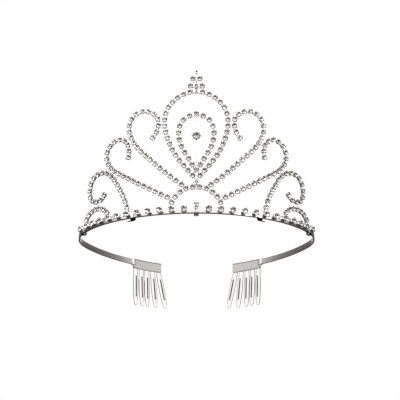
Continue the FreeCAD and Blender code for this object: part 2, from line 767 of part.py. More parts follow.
def make_comb_clips():
    """A bright crimp round the headband, over the low front end of each comb."""
    loop = folded_loop(
        "comb_clip",
        "Sizes.strap_width",
        "-Sizes.strap_thickness",
        "Sizes.band_height + Sizes.strap_thickness",
        f"{HEADBAND_BACK} - Sizes.strap_thickness",
        "Sizes.solder_gap + Sizes.strap_thickness",
        (HEADBAND_BACK, "Sizes.solder_gap", "-Sizes.solder_gap", "Sizes.band_height + Sizes.solder_gap"),
    )
    angle = notch_end - arm_degrees(size["strap_width"] / 2 + size["clip_gap"])
    loop.Placement = Placement(on_arm(angle, 0, 0), Rotation(Vector(0, 0, 1), angle + 90))
    keep(loop, "comb_clip_right")
    doc.recompute()
    mirror_object("comb_clip_left", loop)


# ---------------------------------------------------------------- combs

def comb_tooth():
    """A flat leaf-shaped tooth with a rounded tip, pointing down from its root at the origin."""
    root = size["tooth_root"] / 2
    middle = size["tooth_middle"] / 2
    tip = size["tooth_tip"] / 2
    length = size["tooth_length"]
    top = size["cut_margin"]
    belly = -length * size["tooth_belly"]
    tip_centre = -length + tip
    edges = [
        Part.LineSegment(Vector(-root, 0, top), Vector(root, 0, top)),
        Part.LineSegment(Vector(root, 0, top), Vector(root, 0, 0)),
        Part.Arc(Vector(root, 0, 0), Vector(middle, 0, belly), Vector(tip, 0, tip_centre)),
        Part.Arc(Vector(tip, 0, tip_centre), Vector(0, 0, -length), Vector(-tip, 0, tip_centre)),
        Part.Arc(Vector(-tip, 0, tip_centre), Vector(-middle, 0, belly), Vector(-root, 0, 0)),
        Part.LineSegment(Vector(-root, 0, 0), Vector(-root, 0, top)),
    ]
    face = Part.Face(Part.Wire([edge.toShape() for edge in edges]))
    thickness = size["tooth_thickness"]
    face.translate(Vector(0, -thickness / 2, 0))
    return face.extrude(Vector(0, thickness, 0))


def arm_slice(near, far, low, high, first, last):
    """A piece of a ring about the rear arm's centre, between two angles."""
    foot = Vector(arm_centre.x, arm_centre.y, low)
    upright = Vector(0, 0, 1)
    ring, core = [
        Part.makeCylinder(size["arm_radius"] + out, high - low, foot, upright, last - first)
        for out in (far, near)
    ]
    piece = ring.cut(core)
    piece.rotate(arm_centre, upright, first)
    return piece


# How far each tooth is turned towards the end of the arm, in degrees, front tooth first.
TOOTH_SPLAY = (0.0, 1.7, 1.0, 5.5, 12.5)


def make_combs():
    """A clear bar grooved for the end of the headband, with five teeth that fan out."""
    outer = size["comb_wall"]
    inner = -size["band_thickness"] - size["comb_wall"]
    gap = size["solder_gap"]
    margin = size["cut_margin"]
    top = size["band_height"]
    bar = arm_slice(inner, outer, -size["comb_drop"], top, comb_start, comb_end)
    groove = arm_slice(
        -size["band_thickness"] - gap, gap, -gap, top + margin,
        comb_start - margin, size["arm_end_angle"] + arm_degrees(gap),
    )
    notch = arm_slice(
        inner - margin, outer + margin, -size["strap_thickness"] - gap, top + margin,
        comb_start - margin, notch_end,
    )
    solid = bar.cut(groove).cut(notch)
    tooth = comb_tooth()
    middle_angle = (comb_start + comb_end) / 2
    for index, splay in enumerate(TOOTH_SPLAY):
        steps_from_middle = index - (len(TOOTH_SPLAY) - 1) / 2
        angle = middle_angle + steps_from_middle * arm_degrees(size["tooth_pitch"])
        facing = Rotation(Vector(0, 0, 1), angle + 90)
        lean = Rotation(Vector(1, 0, 0), size["tooth_lean"])
        fan = Rotation(Vector(0, 1, 0), -splay)
        root = on_arm(angle, -size["comb_drop"], (inner + outer) / 2)
        piece = tooth.transformed(Placement(root, facing * lean * fan).toMatrix(), True)
        solid = solid.fuse(piece)
    comb = doc.addObject("Part::Feature", "comb_solid")
    comb.Shape = solid.removeSplitter()
    keep(comb, "comb_right")
    doc.recompute()
    mirror_object("comb_left", comb)


# ---------------------------------------------------------------- the tiara

cup_master = claw_setting("claw_cup", "1", 4)
base_cup_master = claw_setting("base_claw_cup", "Sizes.base_scale", 4)
small_cup_master = claw_setting("small_claw_cup", "Sizes.small_scale", 4)
tie_cup_master = claw_setting("tie_claw_cup", "Sizes.tie_stone_scale", 4)
stone_master = crystal("common_stone", 1.0)
base_stone_master = crystal("base_stone", size["base_scale"])
small_stone_master = crystal("small_stone", size["small_scale"])
tie_stone_master = crystal("tie_stone", size["tie_stone_scale"])
narrow_cup = claw_setting("narrow_claw_cup", "Sizes.top_scale", 4)
top_cup_master = stretched("top_claw_cup", narrow_cup, size["top_stretch"])
top_stone_master = crystal("top_stone", size["top_scale"], size["top_stretch"])

make_headband()
make_base_rail()
make_base_row()
make_closed_row("outer_teardrop", OUTER_TEARDROP, 17, lead=[(0.6, 21.0)])
make_closed_row(
    "inner_teardrop", INNER_TEARDROP, 9, lead=[(0.6, 26.0)], tail=[(0, 61.2)], middle=(25.9, 61.4)
)
make_closed_row("centre_arch", CENTRE_ARCH, 5, lead=[(14.0, 3.9)])
make_pair_of_rows("inner_crook", INNER_CROOK, 23, lead=[(7.6, 16.2)])
make_pair_of_rows("outer_crook", OUTER_CROOK, 22, lead=[(14.9, 8.9)])
make_pair_of_rows("side_swirl", SIDE_SWIRL, 18, lead=[(41.3, 3.9)])
make_pair_of_rows("side_loop", SIDE_LOOP, 7, lead=[(56.9, 3.9)], tail=[(78.2, 3.9)])
make_finial()
make_drop_stone()
make_apex_link()
make_centre_tie()
make_strap("front_strap", size["front_strap_along"], tail=True)
make_strap("end_strap", size["end_strap_along"])
make_combs()
make_comb_clips()
doc.recompute()

for item in doc.Objects:
    for trouble in ("Invalid", "Error"):
        if trouble in item.State:
            raise RuntimeError(f"{item.Label} did not compute")
for node in nodes:
    shape = node.Shape
    if shape.isNull() or not shape.isValid() or not shape.Solids:
        raise RuntimeError(f"{node.Label} has no valid solid")
    if min(solid.Volume for solid in shape.Solids) <= 0:
        raise RuntimeError(f"{node.Label} is inside out")
for node in nodes:
    node.Shape.exportStep(f"parts/{node.Label}.step")
    print(f"{node.Label}: {len(node.Shape.Solids)} solids, {node.Shape.Volume:.1f} cubic mm")
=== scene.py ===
"""Bridal tiara: a plated headband, a soldered front of claw-set crystals and two clear combs."""

import math
import random

import bmesh
import bpy
from mathutils import Matrix, Vector


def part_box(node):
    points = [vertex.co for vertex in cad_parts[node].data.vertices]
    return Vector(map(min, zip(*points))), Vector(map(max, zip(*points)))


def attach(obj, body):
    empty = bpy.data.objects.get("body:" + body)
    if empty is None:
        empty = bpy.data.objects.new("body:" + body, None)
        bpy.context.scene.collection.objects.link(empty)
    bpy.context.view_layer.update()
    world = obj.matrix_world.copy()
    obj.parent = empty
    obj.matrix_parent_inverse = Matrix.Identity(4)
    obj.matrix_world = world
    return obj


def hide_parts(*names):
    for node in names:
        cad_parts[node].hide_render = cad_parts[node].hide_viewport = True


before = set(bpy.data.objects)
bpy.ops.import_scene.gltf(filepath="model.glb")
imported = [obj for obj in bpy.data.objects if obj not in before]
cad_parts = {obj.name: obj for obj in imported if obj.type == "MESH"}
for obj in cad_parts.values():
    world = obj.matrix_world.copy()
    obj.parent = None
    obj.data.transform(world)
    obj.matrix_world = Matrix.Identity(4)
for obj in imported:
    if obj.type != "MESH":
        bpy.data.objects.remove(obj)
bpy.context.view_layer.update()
MM = 0.001


# ---- Camera. The tiara is looked up at from in front and a little below, from well back.

VIEW_DISTANCE = 650 * MM
VIEW_RISE = math.radians(18)
VIEW_CENTRE = Vector((2.16, 0, 28.3)) * MM
LENS_LENGTH = 90.6
SENSOR_WIDTH = 36
NEAREST = 0.01

lens = bpy.data.cameras.new("camera")
lens.sensor_width = SENSOR_WIDTH
lens.lens = LENS_LENGTH
lens.clip_start = NEAREST
camera = bpy.data.objects.new("camera", lens)
bpy.context.scene.collection.objects.link(camera)
sight = Vector((0, math.cos(VIEW_RISE), math.sin(VIEW_RISE)))
camera.location = VIEW_CENTRE - sight * VIEW_DISTANCE
camera.rotation_euler = sight.to_track_quat("-Z", "Y").to_euler()
bpy.context.scene.camera = camera
bpy.context.scene.view_settings.view_transform = "Standard"


# ---- Studio. A white sweep behind, a bright wall in front and a soft box above, with dim walls at
# the sides and dark below, which draw grey outlines in the metal and stones. The floor is matt paper.

BACKDROP = (1.0, 1.0, 1.0)
ROOM_BRIGHT = (1.0, 0.985, 0.965)
ROOM_SIDE = (0.088, 0.086, 0.082)
ROOM_LOW = (0.06, 0.058, 0.054)
LOW_EDGE, LOW_FULL = 0.0, -0.22
SWEEP_EDGE, SWEEP_FULL = math.cos(math.radians(24)), math.cos(math.radians(14))
FRONT_EDGE, FRONT_FULL = -0.1, 0.25
FRONT_LOW, FRONT_HIGH = -0.25, 0.05
TOP_EDGE, TOP_FULL = 0.45, 0.85
BEHIND_EDGE, BEHIND_FULL = 0.2, 0.5
FLOOR_LEVEL = -0.26
FLOOR_HALF = 2.5
FLOOR_PALE, FLOOR_SHADE = (0.90, 0.90, 0.90), (0.85, 0.85, 0.85)
FLOOR_GLOW = 0.35
MIXED_COLOUR = 2


class Term:
    """One shader socket. Sums written with it add their Math nodes to the finish it belongs to."""

    def __init__(self, finish, socket):
        self.finish = finish
        self.socket = socket

    def math(self, operation, *terms):
        return self.finish.add("ShaderNodeMath", {"operation": operation}, dict(enumerate(terms)))

    def __add__(self, other):
        return self.math("ADD", self, other)

    __radd__ = __add__

    def __mul__(self, other):
        return self.math("MULTIPLY", self, other)

    __rmul__ = __mul__

    def __sub__(self, other):
        return self.math("SUBTRACT", self, other)

    def __rsub__(self, other):
        return self.math("SUBTRACT", other, self)

    def out(self, name):
        return Term(self.finish, self.socket.node.outputs[name])


class Finish:
    """The nodes of one surface. add() makes any node, and feed() links a value to the shader."""

    def __init__(self, owner, shader="Principled BSDF", **constants):
        owner.use_nodes = True
        self.owner = owner
        self.tree = owner.node_tree
        self.shader = self.tree.nodes[shader]
        for name, value in constants.items():
            self.shader.inputs[name.replace("_", " ")].default_value = value

    def add(self, kind, settings, inputs):
        node = self.tree.nodes.new(kind)
        for name, value in settings.items():
            setattr(node, name, value)
        for name, value in inputs.items():
            if isinstance(value, Term):
                self.tree.links.new(value.socket, node.inputs[name])
            else:
                node.inputs[name].default_value = value
        return Term(self, next(output for output in node.outputs if output.enabled))

    def feed(self, name, term):
        self.tree.links.new(term.socket, self.shader.inputs[name])

    def place(self):
        return self.add("ShaderNodeTexCoord", {}, {}).out("Object")

    def noise(self, scale, stretch=(1, 1, 1), detail=3.0):
        stretched = self.add("ShaderNodeMapping", {}, {"Vector": self.place(), "Scale": stretch})
        inputs = {"Vector": stretched, "Scale": scale, "Detail": detail}
        return self.add("ShaderNodeTexNoise", {}, inputs)

    def ramp(self, term, low, high):
        settings = {"interpolation_type": "SMOOTHSTEP"}
        inputs = {"Value": term, "From Min": low, "From Max": high}
        return self.add("ShaderNodeMapRange", settings, inputs)

    def brighter(self, one, other):
        return self.add("ShaderNodeMath", {"operation": "MAXIMUM"}, {0: one, 1: other})

    def height(self):
        return self.add("ShaderNodeSeparateXYZ", {}, {"Vector": self.place()}).out("Z")

    def tint(self, mask, low, high):
        """The low colour where the mask is 0, and the high one where it is 1."""
        inputs = {"Factor_Float": mask, "A_Color": low, "B_Color": high}
        node = self.tree.nodes.new("ShaderNodeMix")
        node.data_type = "RGBA"
        sockets = {socket.identifier: socket for socket in node.inputs}
        for name, value in inputs.items():
            if isinstance(value, Term):
                self.tree.links.new(value.socket, sockets[name])
            else:
                sockets[name].default_value = (*value, 1)
        return Term(self, node.outputs[MIXED_COLOUR])

    def relief(self, height, strength, distance):
        inputs = {"Height": height, "Strength": strength, "Distance": distance}
        self.feed("Normal", self.add("ShaderNodeBump", {}, inputs))


def material(name, **constants):
    return Finish(bpy.data.materials.new(name), **constants)


bpy.context.scene.world = bpy.data.worlds.new("studio")
room = Finish(bpy.context.scene.world, "Background", Strength=1.0)
direction = room.add("ShaderNodeTexCoord", {}, {}).out("Generated")
across = room.add("ShaderNodeSeparateXYZ", {}, {"Vector": direction})
toward_sweep = room.add("ShaderNodeVectorMath", {"operation": "DOT_PRODUCT"}, {0: direction, 1: sight})
sweep = room.ramp(toward_sweep.out("Value"), SWEEP_EDGE, SWEEP_FULL)
front = room.ramp(across.out("Y") * -1, FRONT_EDGE, FRONT_FULL)
front = front * room.ramp(across.out("Z"), FRONT_LOW, FRONT_HIGH)
above = room.ramp(across.out("Z"), TOP_EDGE, TOP_FULL)
lit = room.brighter(room.brighter(sweep, front), above)
dim = room.tint(room.ramp(across.out("Z"), LOW_FULL, LOW_EDGE), ROOM_LOW, ROOM_SIDE)
walls = room.tint(lit, dim, ROOM_BRIGHT)
# From behind, what is seen straight through clear plastic is the pale room and not its dark floor.
sight_path = room.add("ShaderNodeLightPath", {}, {})
toward_front = room.ramp(across.out("Y") * -1, BEHIND_EDGE, BEHIND_FULL)
see_through = toward_front * (1 - sight_path.out("Glossy Depth"))
seen = room.brighter(sight_path.out("Is Camera Ray"), see_through)
room.feed("Color", room.tint(seen, walls, BACKDROP))

floor_mesh = bpy.data.meshes.new("floor")
corners = [(x * FLOOR_HALF, y * FLOOR_HALF, FLOOR_LEVEL) for x, y in ((-1, -1), (1, -1), (1, 1), (-1, 1))]
floor_mesh.from_pydata(corners, [], [(0, 1, 2, 3)])
floor = bpy.data.objects.new("floor", floor_mesh)
bpy.context.scene.collection.objects.link(floor)
paper = material("matt_paper", Roughness=0.9, Emission_Color=(1, 1, 1, 1), Emission_Strength=FLOOR_GLOW)
paper.feed("Base Color", paper.tint(paper.noise(3.0), FLOOR_SHADE, FLOOR_PALE))
floor.data.materials.append(paper.owner)
floor.visible_glossy = False
floor.visible_transmission = False

# A large soft lamp high on the left and a smaller one on the right, out of every view.
LAMPS = (
    # name, place, width, power
    ("key_lamp", (-0.7, -0.9, 0.9), 0.9, 11.0),
    ("fill_lamp", (0.9, -0.8, 0.3), 0.6, 4.0),
)
for name, place, width, power in LAMPS:
    lamp = bpy.data.lights.new(name, "AREA")
    lamp.size = width
    lamp.energy = power
    holder = bpy.data.objects.new(name, lamp)
    holder.location = place
    holder.rotation_euler = (VIEW_CENTRE - Vector(place)).to_track_quat("-Z", "Y").to_euler()
    holder.visible_camera = False
    bpy.context.scene.collection.objects.link(holder)


# ---- Headband. A flat steel strip, brushed and plated, with its edges rounded over. It is bent
# round three arcs: wide across the front, tighter at the ears and nearly straight in the arms.

HALF_WIDTH = 75.0
FRONT_RADIUS = 79.1
SIDE_RADIUS = 42.0
ARM_RADIUS = 114.0
ARM_START = math.radians(20)
ARM_END = math.radians(57.4)
BAND_HEIGHT = 3.9
BAND_THICKNESS = 1.0
BAND_EDGE = 0.3
BEND_STEP = math.radians(1.2)
CORNER_STEPS = 3
SIDE_CENTRE = Vector((HALF_WIDTH - SIDE_RADIUS, 0))
FRONT_CENTRE = Vector((0, math.sqrt((FRONT_RADIUS - SIDE_RADIUS) ** 2 - SIDE_CENTRE.x ** 2)))
FRONT_TURN = math.atan2(SIDE_CENTRE.x, FRONT_CENTRE.y)
ARM_CENTRE = SIDE_CENTRE + Vector((math.cos(ARM_START), math.sin(ARM_START))) * (SIDE_RADIUS - ARM_RADIUS)
QUARTER = math.pi / 2
CREASE = 35
END_CAPS = 2


def bend(centre, radius, start, end):
    """Stations round an arc of the plan: each is a place on the outer face and the way out."""
    steps = max(2, math.ceil(abs(end - start) / BEND_STEP))
    stations = []
    for i in range(steps + 1):
        turn = start + (end - start) * i / steps
        outward = Vector((math.cos(turn), math.sin(turn)))
        stations.append((centre + outward * radius, outward))
    return stations


def rounded_section(inner, outer, low, high, edge):
    """The outline of a strip's section, as (out, up), with each corner rounded over."""
    corners = ((inner, low, 2), (outer, low, 3), (outer, high, 0), (inner, high, 1))
    outline = []
    for out, up, quadrant in corners:
        out += edge if out == inner else -edge
        up += edge if up == low else -edge
        for part in range(CORNER_STEPS + 1):
            turn = QUARTER * (quadrant + part / CORNER_STEPS)
            outline.append((out + edge * math.cos(turn), up + edge * math.sin(turn)))
    return outline


def skin(rings, closed=False):
    """A closed bmesh over rings of points that have the same count, capped at both ends."""
    mesh = bmesh.new()
    loops = [[mesh.verts.new(point) for point in ring] for ring in rings]
    pairs = list(zip(loops, loops[1:]))
    if closed:
        pairs.append((loops[-1], loops[0]))
    else:
        mesh.faces.new(loops[0][::-1])
        mesh.faces.new(loops[-1])
    for ring, following in pairs:
        for i in range(len(ring)):
            j = (i + 1) % len(ring)
            mesh.faces.new((ring[i], ring[j], following[j], following[i]))
    bmesh.ops.recalc_face_normals(mesh, faces=mesh.faces)
    return mesh


def bent_strip(stations, section):
    """A strip with that section, laid along the stations."""
    rings = []
    for place, outward in stations:
        ring = [(*(place + outward * out), up) for out, up in section]
        rings.append([Vector(point) * MM for point in ring])
    return skin(rings)


def piece(name, mesh, body, finishes, nodes, crease=CREASE):
    """Makes an object of a bmesh, paints it, and says which body it rides on and what it replaces."""
    data = bpy.data.meshes.new(name)
    mesh.to_mesh(data)
    mesh.free()
    data.shade_smooth()
    data.set_sharp_from_angle(angle=math.radians(crease))
    for finish in finishes:
        data.materials.append(finish.owner)
    made = bpy.data.objects.new(name, data)
    bpy.context.scene.collection.objects.link(made)
    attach(made, body)
    if nodes:
        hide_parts(*nodes)
    return made


right_half = (
    bend(FRONT_CENTRE, FRONT_RADIUS, -QUARTER, FRONT_TURN - QUARTER)[1:]
    + bend(SIDE_CENTRE, SIDE_RADIUS, FRONT_TURN - QUARTER, ARM_START)[1:]
    + bend(ARM_CENTRE, ARM_RADIUS, ARM_START, ARM_END)[1:]
)
flip = Vector((-1, 1))
left_half = [(place * flip, outward * flip) for place, outward in reversed(right_half)]
middle = bend(FRONT_CENTRE, FRONT_RADIUS, -QUARTER, FRONT_TURN - QUARTER)[:1]
band_section = rounded_section(-BAND_THICKNESS, 0, 0, BAND_HEIGHT, BAND_EDGE)

# The outer face and edges are polished. The inner face keeps its brushing, whose lines run along
# the strip: fine in height and long everywhere else.
BRUSHING = (18, 18, 1500)
polished = material("polished_steel", Metallic=1.0)
ripple = polished.noise(400.0)
polished.feed("Base Color", polished.tint(polished.noise(80.0), (0.86, 0.85, 0.835), (0.96, 0.955, 0.945)))
polished.feed("Roughness", 0.12 + 0.14 * ripple)
polished.relief(ripple, 0.1, 0.04 * MM)
brushed = material("brushed_steel", Metallic=1.0)
strokes = brushed.noise(1.0, BRUSHING, 4.0)
cloud = brushed.noise(60.0)
brushed.feed("Base Color", brushed.tint(strokes, (0.68, 0.67, 0.655), (0.90, 0.89, 0.87)))
brushed.feed("Roughness", 0.26 + 0.14 * strokes + 0.08 * cloud)
brushed.relief(strokes, 0.12, 0.05 * MM)
band = bent_strip(left_half + middle + right_half, band_section)
for index, face in enumerate(list(band.faces)[END_CAPS:]):
    if index % len(band_section) == len(band_section) - 1:
        face.material_index = 1
piece("headband_strip", band, "tiara", [polished, brushed], ["headband"])


# ---- Base rail. A thinner plated strip soldered to the front of the headband, which carries the
# whole front. Its face is polished almost white.

SOLDER_GAP = 0.05
RAIL_THICKNESS = 0.8
RAIL_LOW, RAIL_HIGH = 0.1, 3.8
RAIL_EDGE = 0.2
RAIL_HALF_LENGTH = 86.4
RAIL_TURN = RAIL_HALF_LENGTH / FRONT_RADIUS
rail_path = bend(FRONT_CENTRE, FRONT_RADIUS, -QUARTER - RAIL_TURN, -QUARTER + RAIL_TURN)
rail_section = rounded_section(SOLDER_GAP, SOLDER_GAP + RAIL_THICKNESS, RAIL_LOW, RAIL_HIGH, RAIL_EDGE)
plated = material("nickel_plate", Metallic=1.0)
orange_peel = plated.noise(900.0)
plated.feed("Base Color", plated.tint(plated.noise(90.0), (0.88, 0.87, 0.855), (0.98, 0.975, 0.965)))
plated.feed("Roughness", 0.14 + 0.18 * orange_peel)
plated.relief(orange_peel, 0.1, 0.04 * MM)
piece("rail_strip", bent_strip(rail_path, rail_section), "tiara", [plated], ["base_rail"])


# ---- Backing wires. Round drawn wire bent by hand to each outline, with its ends snipped and
# filed round. Every row of crystals is soldered to the front of one.

WIRE_RADIUS = 0.3 * MM
WIRE_SIDES = 10
WIRE_STEP = 0.7 * MM
DOME = (0.15, 0.65, 1.0)
DOME_CLEAR = 1.3
WELD = 2e-6
SAME_PLANE = 0.9999
ROWS_ACROSS = ("outer_teardrop", "inner_teardrop", "centre_arch")
ROWS_IN_PAIRS = ("inner_crook", "outer_crook", "side_swirl", "side_loop")
ROWS = [*ROWS_ACROSS, *(f"{row}_{side}" for row in ROWS_IN_PAIRS for side in ("right", "left"))]


def welded(node):
    """The CAD node's mesh as a bmesh, with the corners that its faces share joined."""
    mesh = bmesh.new()
    mesh.from_mesh(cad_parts[node].data)
    bmesh.ops.remove_doubles(mesh, verts=mesh.verts, dist=WELD)
    mesh.normal_update()
    return mesh


def in_plane(face, other):
    return face.normal.dot(other.normal) > SAME_PLANE


def neighbours_in_plane(face):
    return [other for edge in face.edges for other in edge.link_faces if in_plane(face, other)]


def bends_of(node):
    """The places where the straight runs of a CAD wire meet, from one end to the other."""
    mesh = welded(node)
    flat = set()
    growing = [max(mesh.faces, key=lambda face: len(neighbours_in_plane(face)))]
    while growing:
        face = growing.pop()
        flat.add(face)
        growing += [other for other in neighbours_in_plane(face) if other not in flat]
    ring = {corner for face in flat for corner in face.verts}
    found = []
    passed = set()
    while ring:
        found.append(sum((corner.co for corner in ring), Vector()) / len(ring))
        passed |= ring
        ring = {edge.other_vert(corner) for corner in ring for edge in corner.link_edges} - passed
    mesh.free()
    return found


def smooth_path(places, step):
    """A smooth line through the places, at least that finely divided."""
    line = []
    last = len(places) - 1
    for i in range(last):
        before, start, end, after = (places[min(max(i + k, 0), last)] for k in (-1, 0, 1, 2))
        pieces = max(1, math.ceil((end - start).length / step))
        for part in range(pieces):
            along = part / pieces
            slope = (end - before) * along
            curve = (2 * before - 5 * start + 4 * end - after) * along ** 2
            twist = (3 * start - before - 3 * end + after) * along ** 3
            line.append((2 * start + slope + curve + twist) / 2)
    line.append(places[-1])
    return line


def rod(line, widths, sides, upright=None):
    """Rings of a rod laid along a line; widths are half its (width, thickness) at each place."""
    rings = []
    across = upright
    for i, place in enumerate(line):
        along = (line[min(i + 1, len(line) - 1)] - line[max(i - 1, 0)]).normalized()
        if across is None:
            across = along.orthogonal()
        across = (across - along * across.dot(along)).normalized()
        up = along.cross(across)
        wide, thick = widths[i]
        ring = []
        for side in range(sides):
            turn = math.tau * side / sides
            ring.append(place + across * wide * math.cos(turn) + up * thick * math.sin(turn))
        rings.append(ring)
    return rings


def round_wire(line, radius):
    """A round wire with domed ends, inside the length of its line."""
    first = (line[1] - line[0]).normalized()
    last = (line[-1] - line[-2]).normalized()
    start = [line[0] + first * radius * (1 - math.sqrt(1 - d * d)) for d in DOME]
    end = [line[-1] - last * radius * (1 - math.sqrt(1 - d * d)) for d in reversed(DOME)]
    clear = radius * DOME_CLEAR
    inside = [p for p in line if min((p - line[0]).length, (p - line[-1]).length) > clear]
    widths = [radius * d for d in DOME] + [radius] * len(inside) + [radius * d for d in reversed(DOME)]
    return skin(rod(start + inside + end, [(w, w) for w in widths], WIRE_SIDES))


drawn = material("drawn_wire", Metallic=1.0)
scratches = drawn.noise(700.0)
drawn.feed("Base Color", drawn.tint(drawn.noise(160.0), (0.84, 0.83, 0.81), (0.97, 0.965, 0.95)))
drawn.feed("Roughness", 0.16 + 0.2 * scratches)
drawn.relief(scratches, 0.1, 0.03 * MM)
# The side rows and the link are painted dark, as painted shade for the dark lines the wire shows where it
# lies in shade.
shade_painted_wire = material("wire_with_painted_shade", Metallic=1.0)
shade_mottle = shade_painted_wire.noise(900.0)
shade_painted_wire.feed("Base Color", shade_painted_wire.tint(shade_mottle, (0.16, 0.15, 0.14), (0.46, 0.45, 0.43)))
shade_painted_wire.feed("Roughness", 0.25 + 0.2 * shade_mottle)
shade_painted_wire.relief(shade_mottle, 0.15, 0.04 * MM)
for row in ROWS:
    line = smooth_path(bends_of(f"{row}_wire"), WIRE_STEP)
    # Painted shade: the side rows take the dark-painted wire.
    finish = shade_painted_wire if row.startswith("side_") else drawn
    piece(f"{row}_backing", round_wire(line, WIRE_RADIUS), "tiara", [finish], [f"{row}_wire"])


# ---- Claw settings. Each is a cup stamped from plated brass sheet, scalloped between its claws,
# with the claws bent in over the crystal. Cup chain links stand at a steady pitch on the wire.

COMMON_STONE = 1.45
CUP_TURN_STEPS = 5
CUP_RINGS = (
    # radius, height, how far it dips between the claws, how far its corners stand out at the claws
    (0.50, 0.10, 0.0, 0.0),
    (0.66, 0.0, 0.0, 0.0),
    (1.22, 0.0, 0.0, 0.0),
    (1.36, 0.12, 0.0, 0.02),
    (1.55, 0.85, 0.0, 0.10),
    (1.73, 1.56, 0.32, 0.16),
    (1.72, 1.67, 0.32, 0.16),
    (1.64, 1.70, 0.32, 0.14),
    (1.54, 1.64, 0.32, 0.10),
    (1.50, 1.28, 0.10, 0.04),
    (0.86, 0.38, 0.0, 0.0),
)
CLAW_LINE = (
    (1.62, 0.70), (1.78, 1.20), (1.79, 1.56), (1.64, 1.80), (1.38, 1.94), (1.16, 2.03), (1.07, 2.04),
)
CLAW_HALF_WIDTHS = (0.22, 0.33, 0.33, 0.31, 0.27, 0.20, 0.08)
CLAW_HALF_THICKNESSES = (0.07, 0.12, 0.13, 0.14, 0.14, 0.12, 0.05)
CLAW_SIDES = 6
CULET_HEIGHT, TABLE_UP = 0.4, 2.07
CLAW_OUTSIDE = (1.85, 1.99)
CLAW_REACH = 1.6
OVAL = 1.2
CUP_CREASE = 50


def cup_pattern(claws):
    """One setting at the common size, its back at the origin and open towards +Z."""
    around = claws * CUP_TURN_STEPS
    rings = []
    for radius, height, dip, corner in CUP_RINGS:
        ring = []
        for i in range(around):
            turn = math.tau * i / around
            at_claw = 0.5 + 0.5 * math.cos(claws * turn)
            out = radius + corner * at_claw
            up = height - dip * (1 - at_claw)
            ring.append(Vector((out * math.cos(turn), out * math.sin(turn), up)))
        rings.append(ring)
    pattern = skin(rings)
    for claw in range(claws):
        turn = Matrix.Rotation(math.tau * claw / claws, 3, "Z")
        line = [turn @ Vector((out, 0, up)) for out, up in CLAW_LINE]
        sideways = turn @ Vector((0, 1, 0))
        sizes = list(zip(CLAW_HALF_WIDTHS, CLAW_HALF_THICKNESSES))
        added = skin(rod(line, sizes, CLAW_SIDES, sideways))
        data = bpy.data.meshes.new("claw")
        added.to_mesh(data)
        added.free()
        pattern.from_mesh(data)
        bpy.data.meshes.remove(data)
    return pattern


def islands(mesh):
    """The separate shells of a bmesh, each as a set of corners."""
    unread = set(mesh.verts)
    found = []
    while unread:
        shell = set()
        growing = [next(iter(unread))]
        while growing:
            corner = growing.pop()
            if corner not in shell:
                shell.add(corner)
                growing += [edge.other_vert(corner) for edge in corner.link_edges]
        unread -= shell
        found.append(shell)
    return found


def seat_of(stone):
    """Where a CAD stone sits: the back of its cup, the way out, its scale, and its long side."""
    areas = {}
    for face in {face for corner in stone for face in corner.link_faces}:
        facing = tuple(round(part, 2) for part in face.normal)
        areas[facing] = areas.get(facing, 0) + face.calc_area()
    outward = Vector(max(areas, key=areas.get)).normalized()
    places = [corner.co.copy() for corner in stone]
    culet = min(places, key=outward.dot)
    outward = (sum(places, Vector()) / len(places) - culet).normalized()
    depths = [(place - culet).dot(outward) for place in places]
    scale = max(depths) / (TABLE_UP - CULET_HEIGHT)
    flat = [place - culet - outward * depth for place, depth in zip(places, depths)]
    return culet - outward * CULET_HEIGHT * scale, outward, scale, max(flat, key=lambda way: way.length)


def way_to_claw(back, outward, scale, metal, claws):
    """The direction from a seat's axis to one of its claws, read from the CAD metal about it."""
    side = outward.orthogonal().normalized()
    other = outward.cross(side)
    near, far = (reach * scale for reach in CLAW_OUTSIDE)
    total = complex(0, 0)
    for place in metal:
        away = place - back
        flat = away - outward * away.dot(outward)
        if near < flat.length < far and away.length < far * CLAW_REACH:
            turn = math.atan2(flat.dot(other), flat.dot(side))
            total += complex(math.cos(claws * turn), math.sin(claws * turn))
    turn = math.atan2(total.imag, total.real) / claws
    return side * math.cos(turn) + other * math.sin(turn)


def stone_seats(crystals, settings, claws=4):
    """Where each setting of a row stands, as its back and the matrix that sizes and turns it."""
    stones = welded(crystals)
    metal = [corner.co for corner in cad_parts[settings].data.vertices]
    seats = []
    for stone in islands(stones):
        back, outward, scale, long_side = seat_of(stone)
        stretch = long_side.length / (COMMON_STONE * scale)
        if stretch > OVAL:
            towards_claw = long_side.normalized()
        else:
            towards_claw = way_to_claw(back, outward, scale, metal, claws)
            stretch = 1
        basis = Matrix((towards_claw, outward.cross(towards_claw), outward)).transposed()
        seats.append((back, basis @ Matrix.Diagonal((stretch * scale, scale, scale))))
    stones.free()
    return sorted(seats, key=lambda seat: (round(seat[0].z, 5), round(seat[0].x, 5)))


def stamped(pattern, seats):
    """A bmesh with the pattern repeated at every seat."""
    corners = [corner.co.copy() for corner in pattern.verts]
    pattern.verts.index_update()
    faces = [([corner.index for corner in face.verts], face.material_index) for face in pattern.faces]
    mesh = bmesh.new()
    for back, shape in seats:
        placed = [mesh.verts.new(back + shape @ corner) for corner in corners]
        for indexes, finish in faces:
            face = mesh.faces.new([placed[index] for index in indexes])
            face.material_index = finish
    return mesh


stamping = material("plated_claws", Metallic=1.0)
grain = stamping.noise(1200.0)
stamping.feed("Base Color", stamping.tint(stamping.noise(260.0), (0.64, 0.625, 0.60), (0.93, 0.92, 0.90)))
stamping.feed("Roughness", 0.08 + 0.2 * grain)
stamping.relief(grain, 0.12, 0.03 * MM)
JEWELLED = [*ROWS, "base", "finial"]
seats_of = {row: stone_seats(f"{row}_crystals", f"{row}_settings") for row in JEWELLED}
cups = cup_pattern(4)
for row in JEWELLED:
    made = stamped(cups, seats_of[row])
    piece(f"{row}_cups", made, "tiara", [stamping], [f"{row}_settings"], CUP_CREASE)


# ---- Crystals. Machine-cut glass stones with a flat table and many facets. Their backs are
# silvered with foil, so that light comes back out of the front. Each sits a little askew.

